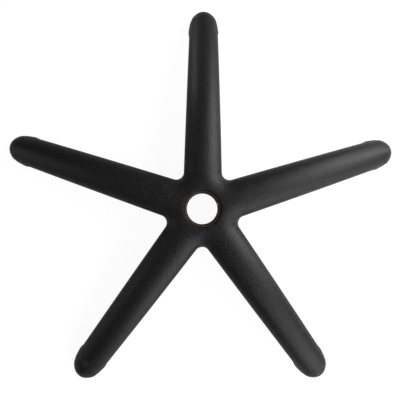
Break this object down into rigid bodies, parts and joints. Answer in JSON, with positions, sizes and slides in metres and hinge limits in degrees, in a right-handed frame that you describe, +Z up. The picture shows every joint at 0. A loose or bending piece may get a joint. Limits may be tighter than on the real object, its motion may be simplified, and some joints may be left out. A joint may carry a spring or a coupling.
{
  "type": "five star chair base",
  "caption": "Five arm star base of a swivel chair: ribbed black plastic moulding with a steel sleeve for the column and a caster socket in each tip.",
  "frame": {"origin": "on the hub's axis, in the plane of the five caster socket mouths, which is the plane that the tips rest on", "axes": "+Z up along the hub's axis, +Y along one arm"},
  "size_m": [0.6062, 0.5786, 0.078],
  "materials": {
    "star_moulding": "fine matte moulded grain",
    "hub_sleeve": "dull rolled steel"
  },
  "bodies": {
    "root": {"star_moulding": "star_moulding", "hub_sleeve": "hub_sleeve"}
  },
  "joints": []
}
